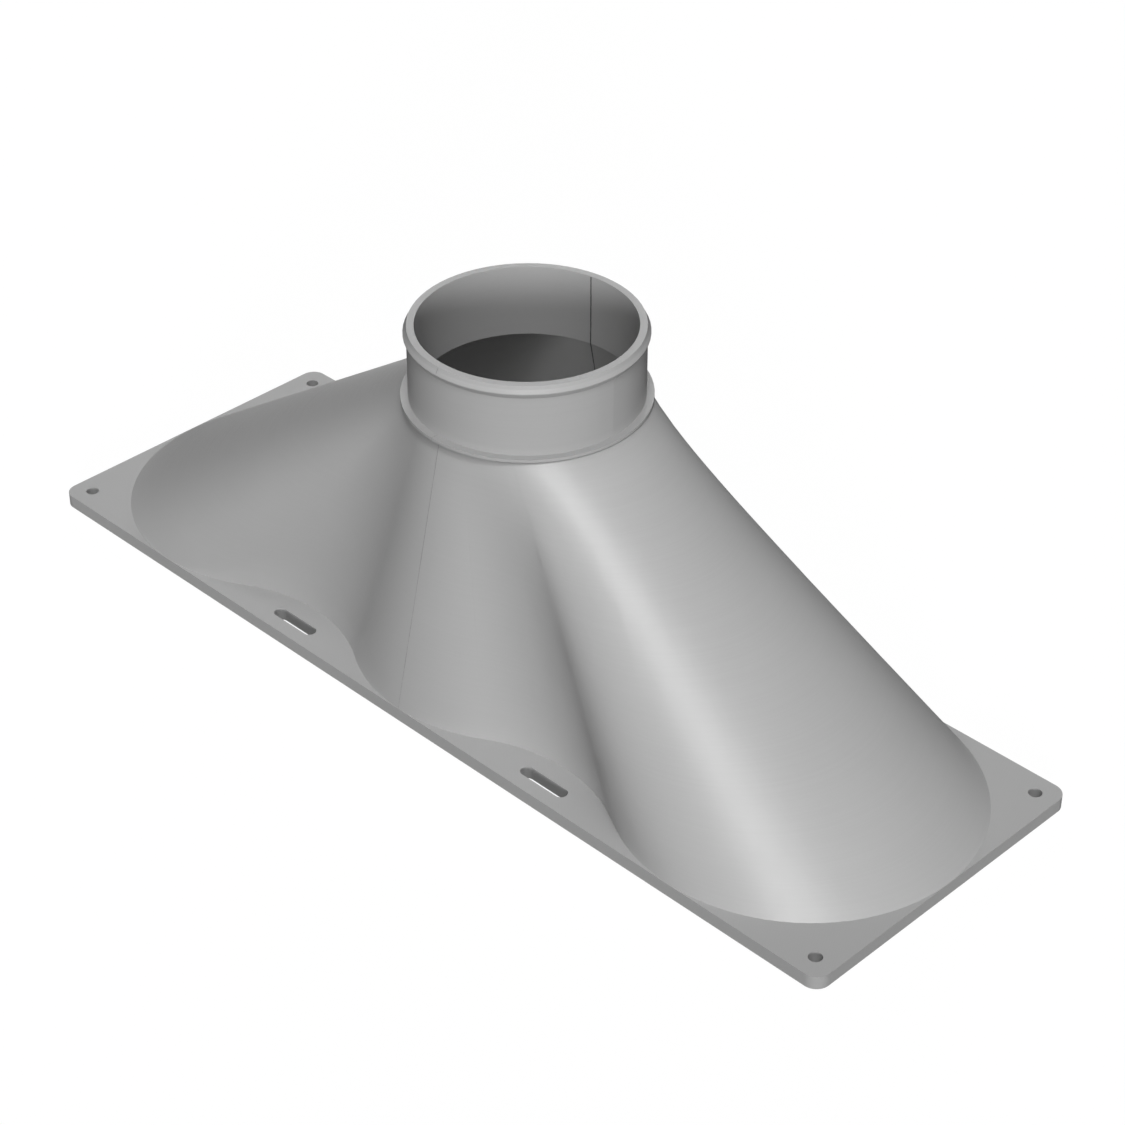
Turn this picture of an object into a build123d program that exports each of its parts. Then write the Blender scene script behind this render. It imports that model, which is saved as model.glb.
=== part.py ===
"""Fan duct adapter: a flange for 120 mm fans set side by side, a lobed funnel and a round hose collar.

Millimetres. X runs along the row of fans, Y across it and Z up. The origin is the centre of the
flange's underside.
"""

from build123d import *

import os
from math import atan2, degrees, radians, sqrt

# Fans that the flange fits: side of one frame, and its screw holes' distance from that frame's edges
fan_count = 3
fan_side = 120.0
fan_hole_inset = 7.5
fan_hole_diameter = 4.5

# Flange
flange_thickness = 4.75
flange_corner_radius = 5.0

# Funnel: a disc over each fan, concave waists between them, and straight lines up to the collar
lobe_edge_margin = 0.1
waist_radius = 55.5
wall = 2.5
funnel_top = 100.0

# Collar for a 76 mm hose
collar_diameter = 76.0
collar_length = 25.0
stop_ring_width = 2.5
stop_ring_thickness = 1.0

# Bead at the collar's rim: a hollow lead-in on top, a narrow nose, and a steeper flank that holds the hose
bead_height = 1.05
bead_lead_in = 2.3
bead_nose_width = 0.3
bead_catch = 1.75
bead_flank_hollow = 0.12
rim_edge_inset = 0.1

# Worked out from the sizes above
flange_length = fan_count * fan_side
lobe_radius = fan_side / 2 - lobe_edge_margin
waist_offset = sqrt((lobe_radius + waist_radius) ** 2 - (fan_side / 2) ** 2)
waist_direction = degrees(atan2(waist_offset, fan_side / 2))
fan_hole_spacing = fan_side - 2 * fan_hole_inset
joint_hole_travel = 2 * fan_hole_inset
collar_radius = collar_diameter / 2
collar_top = funnel_top + collar_length


def foot_arcs(inset):
    """Arcs of the funnel's foot, counter-clockwise from the right-hand lobe.

    Each is a centre, a radius, a start angle and a sweep. The inset moves the whole outline inwards.
    """
    lobe = lobe_radius - inset
    waist = waist_radius + inset
    last_x = (fan_count - 1) * fan_side / 2
    half = [((last_x, 0), lobe, waist_direction - 180, 2 * (180 - waist_direction))]
    for step in range(fan_count - 1):
        waist_x = last_x - (step + 0.5) * fan_side
        half.append(((waist_x, waist_offset), waist, -waist_direction, 2 * waist_direction - 180))
        if step < fan_count - 2:
            lobe_x = last_x - (step + 1) * fan_side
            half.append(((lobe_x, 0), lobe, waist_direction, 180 - 2 * waist_direction))
    other_half = [((-x, -y), radius, start + 180, sweep) for (x, y), radius, start, sweep in half]
    return half + other_half


def collar_arcs(radius):
    """The collar's circle, cut into arcs that share it out as the foot's outer arcs share theirs.

    Joining arc to arc then gives a funnel whose straight lines are evenly spaced at both ends.
    """
    lengths = [arc_radius * radians(abs(sweep)) for _, arc_radius, _, sweep in foot_arcs(0)]
    shares = [360 * length / sum(lengths) for length in lengths]
    start = -shares[0] / 2
    arcs = []
    for share in shares:
        arcs.append(((0, 0), radius, start, share))
        start += share
    return arcs


def section(arcs, height):
    """The face inside a closed outline of arcs, at its height over the flange's underside.

    The arcs stay apart from each other, so that the funnel joins each one to its partner.
    """
    outline = [CenterArc((x, y, height), radius, start, sweep) for (x, y), radius, start, sweep in arcs]
    return Face(Wire(outline))


with BuildPart() as duct_adapter:
    # Flange plate
    with BuildSketch():
        RectangleRounded(flange_length, fan_side, flange_corner_radius)
    extrude(amount=flange_thickness)

    # Funnel, outside
    funnel_foot = section(foot_arcs(0), flange_thickness)
    funnel_head = section(collar_arcs(collar_radius), funnel_top)
    loft([funnel_foot, funnel_head], ruled=True)

    # Collar tube, with the ring that stops the hose at its foot
    with BuildSketch(Plane.XY.offset(funnel_top)):
        Circle(collar_radius)
    extrude(amount=collar_length - bead_lead_in - bead_nose_width)
    with BuildSketch(Plane.XY.offset(funnel_top - stop_ring_thickness)):
        Circle(collar_radius + stop_ring_width)
    extrude(amount=stop_ring_thickness)

    # Rim with its bead, drawn as half its section and turned about the collar's axis
    rim_edge = (collar_radius - rim_edge_inset, collar_top)
    nose_top = (collar_radius + bead_height, collar_top - bead_lead_in)
    nose_bottom = (nose_top[0], nose_top[1] - bead_nose_width)
    bead_foot = (collar_radius, nose_bottom[1] - bead_catch)
    lead_in_middle = ((rim_edge[0] + nose_top[0]) / 2 - bead_flank_hollow, (rim_edge[1] + nose_top[1]) / 2)
    with BuildSketch(Plane.XZ):
        with BuildLine():
            Polyline(rim_edge, lead_in_middle, nose_top, nose_bottom, bead_foot)
            Polyline(bead_foot, (0, bead_foot[1]), (0, collar_top), rim_edge)
        make_face()
    revolve(axis=Axis.Z)

    # Air way: through the flange, up the funnel and out of the collar
    extrude(section(foot_arcs(wall), 0), amount=flange_thickness, mode=Mode.SUBTRACT)
    air_foot = section(foot_arcs(wall), flange_thickness)
    air_head = section(collar_arcs(collar_radius - wall), funnel_top)
    loft([air_foot, air_head], ruled=True, mode=Mode.SUBTRACT)
    with BuildSketch(Plane.XY.offset(funnel_top)):
        Circle(collar_radius - wall)
    extrude(amount=collar_length, mode=Mode.SUBTRACT)

    # Screw holes at the flange's corners
    with BuildSketch():
        with GridLocations(flange_length - joint_hole_travel, fan_hole_spacing, 2, 2):
            Circle(fan_hole_diameter / 2)
    extrude(amount=flange_thickness, mode=Mode.SUBTRACT)

    # Slots where two fans meet, each as long as the way between their neighbouring holes
    with BuildSketch():
        with GridLocations(fan_side, fan_hole_spacing, fan_count - 1, 2):
            SlotCenterToCenter(joint_hole_travel, fan_hole_diameter)
    extrude(amount=flange_thickness, mode=Mode.SUBTRACT)

duct_adapter.part.label = "duct_adapter"

os.makedirs("parts", exist_ok=True)
export_step(duct_adapter.part, "parts/duct_adapter.step")
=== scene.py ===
import math

import bpy
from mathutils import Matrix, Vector


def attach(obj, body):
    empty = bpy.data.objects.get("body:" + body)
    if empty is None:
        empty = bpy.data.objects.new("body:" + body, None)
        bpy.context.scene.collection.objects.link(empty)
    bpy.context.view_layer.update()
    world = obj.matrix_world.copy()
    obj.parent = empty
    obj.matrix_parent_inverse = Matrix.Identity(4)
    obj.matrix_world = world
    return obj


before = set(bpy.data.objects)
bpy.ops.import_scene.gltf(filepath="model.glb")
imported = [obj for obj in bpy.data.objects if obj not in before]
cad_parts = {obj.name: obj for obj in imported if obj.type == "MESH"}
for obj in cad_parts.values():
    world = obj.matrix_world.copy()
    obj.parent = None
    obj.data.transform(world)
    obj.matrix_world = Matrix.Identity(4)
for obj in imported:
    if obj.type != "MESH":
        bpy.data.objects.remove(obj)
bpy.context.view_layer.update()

# Adapter body
# Flange, lobed funnel, hose collar, stop ring and bead are one print in grey plastic, built up from the
# flange in layers 0.2 mm high. The steep walls show the layers as fine level ridges, and the flat faces show
# the strands of the last layer, laid side by side at 45 degrees. Each layer's tone differs a little. The
# grooves between ridges and between strands get painted shade, a darker grey.
print_grey = 0.36

# Gloss: roughness, how far it varies, and the noise values at the ends of that range
print_roughness = 0.36
roughness_range = 0.08
gloss_noise_low, gloss_noise_high = 0.4, 1.6

# Relief: sizes and heights in metres. A ridge is higher where the wall is shallow and its layers make steps.
layer_height = 0.0002
layer_ridge_steep = 0.000006
layer_ridge_shallow = 0.00002
strand_width = 0.00045
strand_ridge = 0.000006
grain_size = 0.0006
grain_detail = 2.0
grain_ridge = 0.000004

# How level a face is, as the upright part of its normal, where ridges begin and end to give way to strands
flat_from, flat_to = 0.985, 0.999

# Tone: shares of the grey. A groove gets painted shade, darker up to a share of its ridge's height.
# Broad clouds vary the rest.
groove_painted_shade_share = 0.93
groove_rise = 0.6
layer_tone_range = 0.02
cloud_tone_range = 0.05
cloud_size = 0.05
cloud_detail = 3.0
cloud_noise_low, cloud_noise_high = 0.2, 0.8


def add_node(tree, node_type, inputs=None, **settings):
    """Adds a node, with values or links for its inputs, and gives it back."""
    node = tree.nodes.new(node_type)
    for name, value in settings.items():
        setattr(node, name, value)
    for key, value in (inputs or {}).items():
        if isinstance(value, bpy.types.NodeSocket):
            tree.links.new(value, node.inputs[key])
        else:
            node.inputs[key].default_value = value
    return node


def add_math(tree, operation, *values):
    """Adds a Math node over values or sockets, and gives back its result."""
    return add_node(tree, "ShaderNodeMath", dict(enumerate(values)), operation=operation).outputs[0]


def map_range(tree, value, from_range, to_range, smooth=False):
    """Adds a Map Range node, and gives back its result."""
    inputs = {"Value": value}
    inputs["From Min"], inputs["From Max"] = from_range
    inputs["To Min"], inputs["To Max"] = to_range
    style = "SMOOTHSTEP" if smooth else "LINEAR"
    return add_node(tree, "ShaderNodeMapRange", inputs, interpolation_type=style).outputs["Result"]


def mix(tree, share, start, end):
    """Adds a Mix node, and gives back the start where the share is 0 and the end where it is 1."""
    return add_node(tree, "ShaderNodeMix", {"Factor": share, "A": start, "B": end}).outputs["Result"]


def around(middle, width):
    """The range of a width around its middle."""
    return middle - width / 2, middle + width / 2


def ridges(tree, distance, pitch):
    """Rounded ridges along a distance: 0 in the grooves between them and 1 on their crests."""
    phase = add_math(tree, "FRACT", add_math(tree, "DIVIDE", distance, pitch))
    from_crest = add_math(tree, "SUBTRACT", add_math(tree, "MULTIPLY", phase, 2.0), 1.0)
    return add_math(tree, "SUBTRACT", 1.0, add_math(tree, "MULTIPLY", from_crest, from_crest))


def noise(tree, size, detail, point):
    """Noise of a size in metres, from 0 to 1 around 0.5."""
    inputs = {"Vector": point, "Scale": 1 / size, "Detail": detail}
    return add_node(tree, "ShaderNodeTexNoise", inputs).outputs["Fac"]


def make_print_plastic(name, grey):
    """Printed plastic: level layer ridges on walls, diagonal strands on flat faces, fine grain over both.
    The grooves between ridges and strands get painted shade.
    """
    material = bpy.data.materials.new(name)
    material.use_nodes = True
    tree = material.node_tree
    shader = tree.nodes["Principled BSDF"]
    place = add_node(tree, "ShaderNodeTexCoord").outputs
    point = place["Object"]
    along = add_node(tree, "ShaderNodeSeparateXYZ", {"Vector": point}).outputs
    facing = add_node(tree, "ShaderNodeSeparateXYZ", {"Vector": place["Normal"]}).outputs
    upright = add_math(tree, "ABSOLUTE", facing["Z"])
    flat = map_range(tree, upright, (flat_from, flat_to), (0.0, 1.0), smooth=True)

    layers = ridges(tree, along["Z"], layer_height)
    layer_ridge = map_range(tree, upright, (0.0, 1.0), (layer_ridge_steep, layer_ridge_shallow))
    layer_relief = add_math(tree, "MULTIPLY", layers, layer_ridge)
    across = add_math(tree, "ADD", along["X"], along["Y"])
    strands = ridges(tree, add_math(tree, "MULTIPLY", across, math.sqrt(0.5)), strand_width)
    strand_relief = add_math(tree, "MULTIPLY", strands, strand_ridge)
    grain = add_math(tree, "MULTIPLY", noise(tree, grain_size, grain_detail, point), grain_ridge)
    height = add_math(tree, "ADD", mix(tree, flat, layer_relief, strand_relief), grain)
    bump = add_node(tree, "ShaderNodeBump", {"Height": height, "Distance": 1.0, "Strength": 1.0})

    layer_number = add_math(tree, "FLOOR", add_math(tree, "DIVIDE", along["Z"], layer_height))
    random_number = add_node(tree, "ShaderNodeTexWhiteNoise", {"W": layer_number}, noise_dimensions="1D")
    layer_noise = random_number.outputs["Value"]
    cloud = noise(tree, cloud_size, cloud_detail, point)
    layer_tone = map_range(tree, layer_noise, (0.0, 1.0), around(1.0, layer_tone_range))
    cloud_range = (cloud_noise_low, cloud_noise_high)
    cloud_tone = map_range(tree, cloud, cloud_range, around(1.0, cloud_tone_range))
    crests = mix(tree, flat, layers, strands)
    # Painted shade: the grooves between ridges and between strands are painted darker than the crests.
    painted_groove_shade = map_range(tree, crests, (0.0, groove_rise), (groove_painted_shade_share, 1.0), smooth=True)
    random_tone_and_painted_shade = add_math(tree, "MULTIPLY", add_math(tree, "MULTIPLY", layer_tone, cloud_tone), painted_groove_shade)
    level = add_math(tree, "MULTIPLY", random_tone_and_painted_shade, grey)
    colour = add_node(tree, "ShaderNodeCombineColor", {"Red": level, "Green": level, "Blue": level})

    gloss_noise = add_math(tree, "ADD", layer_noise, cloud)
    gloss_range = (gloss_noise_low, gloss_noise_high)
    roughness = map_range(tree, gloss_noise, gloss_range, around(print_roughness, roughness_range))

    tree.links.new(colour.outputs["Color"], shader.inputs["Base Color"])
    tree.links.new(roughness, shader.inputs["Roughness"])
    tree.links.new(bump.outputs["Normal"], shader.inputs["Normal"])
    return material


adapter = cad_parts["duct_adapter"]
print_plastic = make_print_plastic("print_plastic", print_grey)
for material_slot in adapter.material_slots:
    material_slot.material = print_plastic

# Layer starts
# The nozzle starts each layer at the same place and leaves a tiny blob there. One above another they make
# thin lines: outside over the bead and the stop ring and down the middle lobe, and inside down the bore
# and the funnel. The blobs are painted dark grey as painted shade, darkest inside. A run is the points that
# a line follows on the surface.
start_pitch = layer_height
start_jitter = 0.00006
start_seed = 3
blob_subdivisions = 1

# Painted shade: the outside blobs are painted a far darker grey than the plastic.
outside_painted_shade_grey = 0.25
outside_radius = 0.00016
bead_run = ((0, -0.0379, 0.12475), (0, -0.03835, 0.12385), (0, -0.0388, 0.123))
ring_run = ((-0.0011, -0.0382, 0.09995), (-0.0012, -0.0405, 0.0999), (-0.0012, -0.0405, 0.0991))
lobe_run = ((0, -0.0382, 0.099), (0, -0.05976, 0.0049))

# Painted shade: the inside blobs are painted nearly black.
inside_painted_shade_grey = 0.05
inside_radius = 0.00025
bore_run = ((-0.0062, 0.035, 0.12475), (-0.0062, 0.035, 0.1), (-0.0095, 0.0566, 0.0048))


def make_start_nodes():
    """Geometry nodes that set a blob, shifted a little at random, at every layer along a path."""
    group = bpy.data.node_groups.new("layer_starts", "GeometryNodeTree")
    sockets = group.interface
    sockets.new_socket("Path", in_out="INPUT", socket_type="NodeSocketGeometry")
    for name, kind, value in (
        ("Pitch", "NodeSocketFloat", start_pitch),
        ("Radius", "NodeSocketFloat", outside_radius),
        ("Jitter", "NodeSocketFloat", start_jitter),
        ("Seed", "NodeSocketInt", start_seed),
    ):
        sockets.new_socket(name, in_out="INPUT", socket_type=kind).default_value = value
    sockets.new_socket("Material", in_out="INPUT", socket_type="NodeSocketMaterial")
    sockets.new_socket("Blobs", in_out="OUTPUT", socket_type="NodeSocketGeometry")
    given = group.nodes.new("NodeGroupInput").outputs
    result = group.nodes.new("NodeGroupOutput").inputs

    line = add_node(group, "GeometryNodeMeshToCurve", {"Mesh": given["Path"]})
    spacing = {"Curve": line.outputs["Curve"], "Length": given["Pitch"]}
    spaced = add_node(group, "GeometryNodeResampleCurve", spacing, mode="LENGTH")
    backwards = add_math(group, "MULTIPLY", given["Jitter"], -1.0)
    limits = {"Min": backwards, "Max": given["Jitter"], "Seed": given["Seed"]}
    shift = add_node(group, "FunctionNodeRandomValue", limits, data_type="FLOAT_VECTOR")
    shifting = {"Geometry": spaced.outputs["Curve"], "Offset": shift.outputs["Value"]}
    shifted = add_node(group, "GeometryNodeSetPosition", shifting)
    size = {"Radius": given["Radius"], "Subdivisions": blob_subdivisions}
    ball = add_node(group, "GeometryNodeMeshIcoSphere", size)
    setting = {"Points": shifted.outputs["Geometry"], "Instance": ball.outputs["Mesh"]}
    blobs = add_node(group, "GeometryNodeInstanceOnPoints", setting)
    real = add_node(group, "GeometryNodeRealizeInstances", {"Geometry": blobs.outputs["Instances"]})
    finish = {"Geometry": real.outputs["Geometry"], "Material": given["Material"]}
    finished = add_node(group, "GeometryNodeSetMaterial", finish)
    group.links.new(finished.outputs["Geometry"], result["Blobs"])
    return group


def make_starts(name, runs, radius, nodes, material):
    """Lays the blobs along the runs of a line and gives back a plain mesh of them."""
    points = []
    edges = []
    for run in runs:
        first = len(points)
        points += run
        edges += [(i, i + 1) for i in range(first, first + len(run) - 1)]
    path_mesh = bpy.data.meshes.new(name + "_path")
    path_mesh.from_pydata(points, edges, [])
    path_object = bpy.data.objects.new(name + "_path", path_mesh)
    bpy.context.scene.collection.objects.link(path_object)
    modifier = path_object.modifiers.new("layer_starts", "NODES")
    modifier.node_group = nodes
    sockets = {item.name: item.identifier for item in nodes.interface.items_tree if item.in_out == "INPUT"}
    modifier[sockets["Radius"]] = radius
    modifier[sockets["Material"]] = material
    evaluated = path_object.evaluated_get(bpy.context.evaluated_depsgraph_get())
    mesh = bpy.data.meshes.new_from_object(evaluated)
    mesh.shade_smooth()
    bpy.data.objects.remove(path_object)
    bpy.data.meshes.remove(path_mesh)
    starts = bpy.data.objects.new(name, mesh)
    bpy.context.scene.collection.objects.link(starts)
    return starts


start_nodes = make_start_nodes()
for side, runs, radius, grey in (
    ("outside", (bead_run, ring_run, lobe_run), outside_radius, outside_painted_shade_grey),
    ("inside", (bore_run,), inside_radius, inside_painted_shade_grey),
):
    # The blobs get painted shade: the same printed plastic in a darker grey.
    painted_shade_start_plastic = make_print_plastic("painted_shade_start_plastic_" + side, grey)
    starts = make_starts("layer_starts_" + side, runs, radius, start_nodes, painted_shade_start_plastic)
    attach(starts, "root")

# Studio
# A white floor at the flange's underside and a white room around it. The camera sees both as plain white,
# and the floor keeps the adapter's faint shadow. All other light meets a dim floor and a dim room, because
# the sides and the inside of the adapter are dark in the photograph.
floor_size = 8.0
floor_bounce = 0.1
floor_glow = 0.905
floor_shade = 0.1
room_light = 0.1
white = (1, 1, 1, 1)


def add_matt(tree, level):
    """Adds a matt grey surface, and gives back its shader."""
    return add_node(tree, "ShaderNodeBsdfDiffuse", {"Color": (level, level, level, 1)}).outputs["BSDF"]


half = floor_size / 2
corners = [(-half, -half, 0), (half, -half, 0), (half, half, 0), (-half, half, 0)]
floor_mesh = bpy.data.meshes.new("floor")
floor_mesh.from_pydata(corners, [], [(0, 1, 2, 3)])
floor = bpy.data.objects.new("floor", floor_mesh)
bpy.context.scene.collection.objects.link(floor)

studio_white = bpy.data.materials.new("studio_white")
studio_white.use_nodes = True
floor_tree = studio_white.node_tree
floor_tree.nodes.remove(floor_tree.nodes["Principled BSDF"])
seen = add_node(floor_tree, "ShaderNodeLightPath").outputs["Is Camera Ray"]
bounce = add_matt(floor_tree, floor_bounce)
shade = add_matt(floor_tree, floor_shade)
glow = add_node(floor_tree, "ShaderNodeEmission", {"Color": white, "Strength": floor_glow})
shown = add_node(floor_tree, "ShaderNodeAddShader", {0: shade, 1: glow.outputs["Emission"]})
floor_look = add_node(floor_tree, "ShaderNodeMixShader", {0: seen, 1: bounce, 2: shown.outputs["Shader"]})
floor_tree.links.new(floor_look.outputs["Shader"], floor_tree.nodes["Material Output"].inputs["Surface"])
floor_mesh.materials.append(studio_white)

world = bpy.data.worlds.new("studio")
world.use_nodes = True
room = world.node_tree
room_seen = add_node(room, "ShaderNodeLightPath").outputs["Is Camera Ray"]
room_strength = map_range(room, room_seen, (0.0, 1.0), (room_light, 1.0))
room.links.new(room_strength, room.nodes["Background"].inputs["Strength"])
room.nodes["Background"].inputs["Color"].default_value = white
bpy.context.scene.world = world
bpy.context.scene.view_settings.view_transform = "Standard"

# Camera
# It stands at the corner of the adapter that the photograph shows and looks down in the direction of an
# isometric drawing. Its place and focal length were fitted to the adapter's corners, holes and circles.
camera_place = Vector((0.546161, -0.53041, 0.571284))
camera_azimuth = math.radians(45)
camera_tilt = math.pi / 2 - math.atan(math.sqrt(0.5))
camera_reach = 20
sensor_width = 36
focal_share = 2.49736
camera_data = bpy.data.cameras.new("camera")
camera_data.sensor_width = sensor_width
camera_data.lens = focal_share * sensor_width
camera_data.clip_end = camera_reach
camera = bpy.data.objects.new("camera", camera_data)
camera.location = camera_place
camera.rotation_euler = (camera_tilt, 0, camera_azimuth)
bpy.context.scene.collection.objects.link(camera)
bpy.context.scene.camera = camera

# Lights
# Wide lamps, given by their direction to the right, up and towards the camera, their strength, their width in
# degrees, and whether the plastic's sheen shows them. The fill is low, and in the sheen it would bleach the
# flat faces as seen from behind. A weak panel under the open flange lights the air way.
lamps = (
    ("key", (0.018, 0.293, 0.956), 1.36, 30, True),
    ("upper", (0.0, 0.5, 0.86), 0.93, 8, True),
    ("top", (0.0, 0.9, 0.43), 0.53, 20, True),
    ("fill", (0.0, -0.5, 0.86), 2.15, 16, False),
    ("back", (0.0, 0.646, -0.763), 1.2, 30, True),
)
panel_size = (0.2, 0.09)
panel_place = (-0.06, 0, 0.002)
panel_power = 0.0068

camera_turn = camera.rotation_euler.to_matrix()
for name, direction, strength, width, in_sheen in lamps:
    lamp_data = bpy.data.lights.new(name, "SUN")
    lamp_data.energy = strength
    lamp_data.angle = math.radians(width)
    lamp = bpy.data.objects.new(name, lamp_data)
    lamp.visible_glossy = in_sheen
    lamp.rotation_mode = "QUATERNION"
    lamp.rotation_quaternion = (camera_turn @ Vector(direction)).to_track_quat("Z", "Y")
    bpy.context.scene.collection.objects.link(lamp)

panel_data = bpy.data.lights.new("air_way_panel", "AREA")
panel_data.shape = "ELLIPSE"
panel_data.size, panel_data.size_y = panel_size
panel_data.energy = panel_power
panel = bpy.data.objects.new("air_way_panel", panel_data)
panel.location = panel_place
panel.rotation_euler = (math.pi, 0, 0)
panel.visible_camera = False
bpy.context.scene.collection.objects.link(panel)
